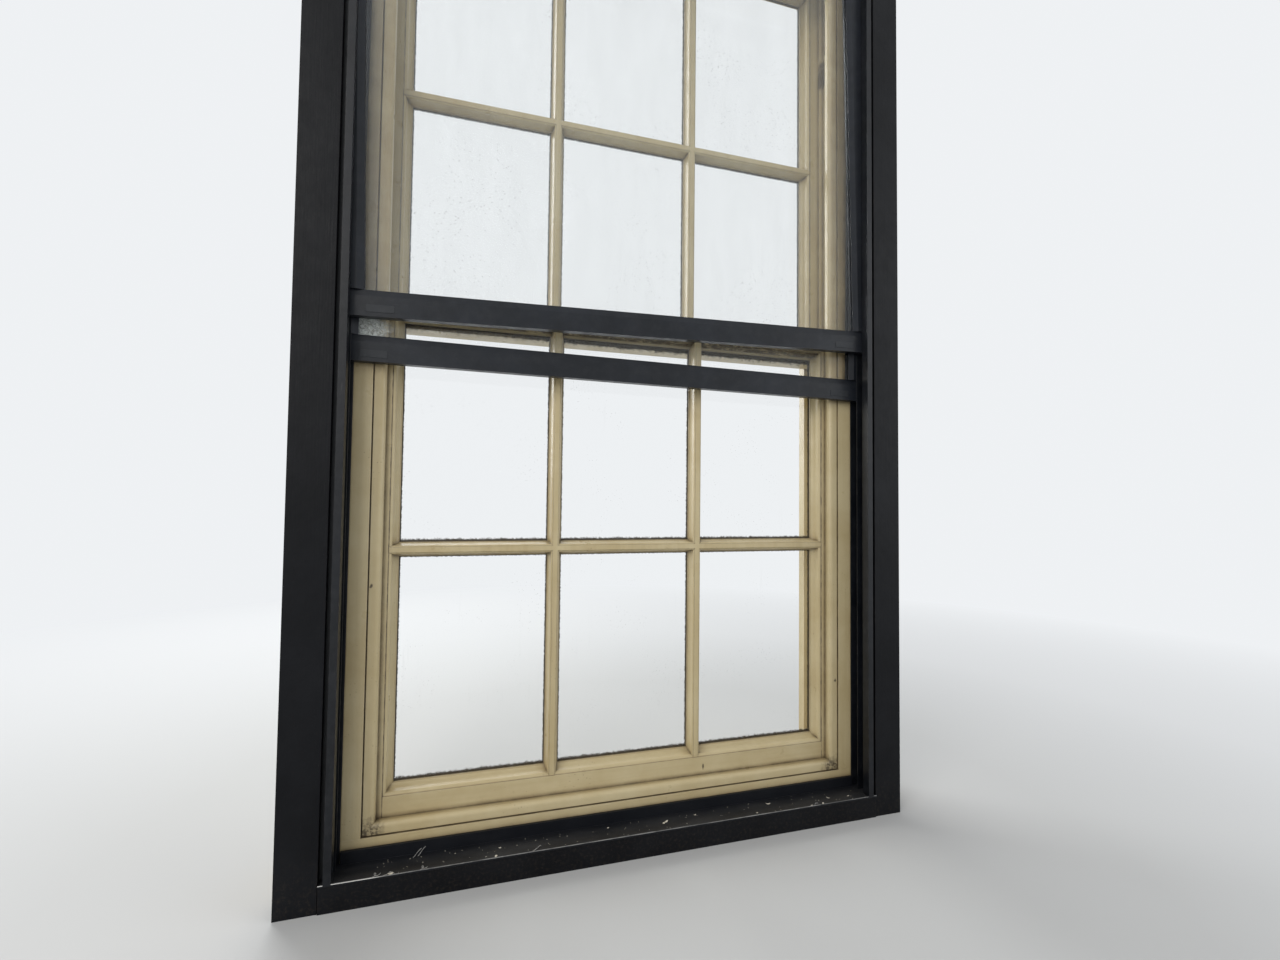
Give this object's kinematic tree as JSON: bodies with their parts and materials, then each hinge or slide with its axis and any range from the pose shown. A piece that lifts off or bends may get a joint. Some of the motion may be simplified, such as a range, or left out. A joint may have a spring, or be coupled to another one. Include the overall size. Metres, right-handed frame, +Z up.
{
  "type": "sash window",
  "caption": "Box sash window with small panes and moulded glazing bars, two sliding sashes, and a black secondary frame with two sliding glass panels.",
  "frame": {"origin": "middle of the window's width, at the underside of the sill, in line with the room face of the lower sash's glass", "axes": "+X across the window to the right as seen from the room, +Y from the room to the outside, +Z up"},
  "size_m": [1.116, 0.208, 1.9055],
  "materials": {
    "cream_paint": "old eggshell paint on softwood, dirty in the corners",
    "bare_timber": "sawn softwood, unpainted",
    "black_timber": "worn black satin paint on boards",
    "black_aluminium": "satin black coating, dusty",
    "glass": "old window glass, hazy with dirt",
    "panel_glass": "float glass, dusty",
    "putty": "painted linseed putty",
    "cast_iron": "as cast, dull",
    "screw_steel": "plated",
    "black_plastic": "moulded nylon, dull"
  },
  "bodies": {
    "frame": {"sill": "cream_paint", "pulley_stile_left": "cream_paint", "pulley_stile_right": "cream_paint", "pocket_pieces": "bare_timber", "head": "cream_paint", "inside_lining_left": "cream_paint", "inside_lining_right": "cream_paint", "inside_lining_head": "cream_paint", "outside_lining_left": "cream_paint", "outside_lining_right": "cream_paint", "outside_lining_head": "cream_paint", "back_linings": "bare_timber", "parting_beads": "cream_paint", "staff_bead_left": "cream_paint", "staff_bead_right": "cream_paint", "staff_bead_head": "cream_paint", "staff_bead_sill": "cream_paint", "wagtails": "bare_timber", "pulley_cases": "cast_iron", "sash_weights": "cast_iron", "timber_grounds": "bare_timber", "cover_board_left": "black_timber", "cover_board_right": "black_timber", "cover_board_head": "black_timber", "jamb_track_left": "black_aluminium", "jamb_track_right": "black_aluminium", "head_track": "black_aluminium", "sill_track": "black_aluminium", "sill_board": "black_timber", "track_screws": "screw_steel"},
    "lower_sash": {"lower_stile_left": "cream_paint", "lower_stile_right": "cream_paint", "lower_meeting_rail": "cream_paint", "lower_glazing_bars": "cream_paint", "lower_panes": "glass", "lower_putty": "putty", "lower_bottom_rail": "cream_paint"},
    "upper_sash": {"upper_stile_left": "cream_paint", "upper_stile_right": "cream_paint", "upper_meeting_rail": "cream_paint", "upper_glazing_bars": "cream_paint", "upper_panes": "glass", "upper_putty": "putty", "upper_top_rail": "cream_paint"},
    "front_panel": {"front_panel_stile_left": "black_aluminium", "front_panel_stile_right": "black_aluminium", "front_panel_top_rail": "black_aluminium", "front_panel_bottom_rail": "black_aluminium", "front_panel_glass": "panel_glass", "front_panel_corner_blocks": "black_plastic"},
    "rear_panel": {"rear_panel_stile_left": "black_aluminium", "rear_panel_stile_right": "black_aluminium", "rear_panel_top_rail": "black_aluminium", "rear_panel_bottom_rail": "black_aluminium", "rear_panel_glass": "panel_glass", "rear_panel_corner_blocks": "black_plastic"},
    "lower_pulley_wheel_left": {"lower_pulley_wheel_left": "cast_iron"},
    "lower_pulley_wheel_right": {"lower_pulley_wheel_right": "cast_iron"},
    "upper_pulley_wheel_left": {"upper_pulley_wheel_left": "cast_iron"},
    "upper_pulley_wheel_right": {"upper_pulley_wheel_right": "cast_iron"}
  },
  "joints": [
    {"name": "lower_sash_slide", "type": "slide", "parent": "frame", "child": "lower_sash", "axis": [0, 0, 1], "range_m": [0, 0.824]},
    {"name": "upper_sash_slide", "type": "slide", "parent": "frame", "child": "upper_sash", "axis": [0, 0, 1], "range_m": [-0.848, 0]},
    {"name": "front_panel_slide", "type": "slide", "parent": "frame", "child": "front_panel", "axis": [0, 0, 1], "range_m": [-0.871, 0.003]},
    {"name": "rear_panel_slide", "type": "slide", "parent": "frame", "child": "rear_panel", "axis": [0, 0, 1], "range_m": [-0.776, 0.093]},
    {"name": "lower_pulley_wheel_left_spin", "type": "hinge", "parent": "frame", "child": "lower_pulley_wheel_left", "pos_m": [-0.4695, -0.0065, 1.6815], "axis": [0, 1, 0], "continuous": true},
    {"name": "lower_pulley_wheel_right_spin", "type": "hinge", "parent": "frame", "child": "lower_pulley_wheel_right", "pos_m": [0.4695, -0.0065, 1.6815], "axis": [0, 1, 0], "continuous": true},
    {"name": "upper_pulley_wheel_left_spin", "type": "hinge", "parent": "frame", "child": "upper_pulley_wheel_left", "pos_m": [-0.4695, 0.0355, 1.6815], "axis": [0, 1, 0], "continuous": true},
    {"name": "upper_pulley_wheel_right_spin", "type": "hinge", "parent": "frame", "child": "upper_pulley_wheel_right", "pos_m": [0.4695, 0.0355, 1.6815], "axis": [0, 1, 0], "continuous": true}
  ]
}
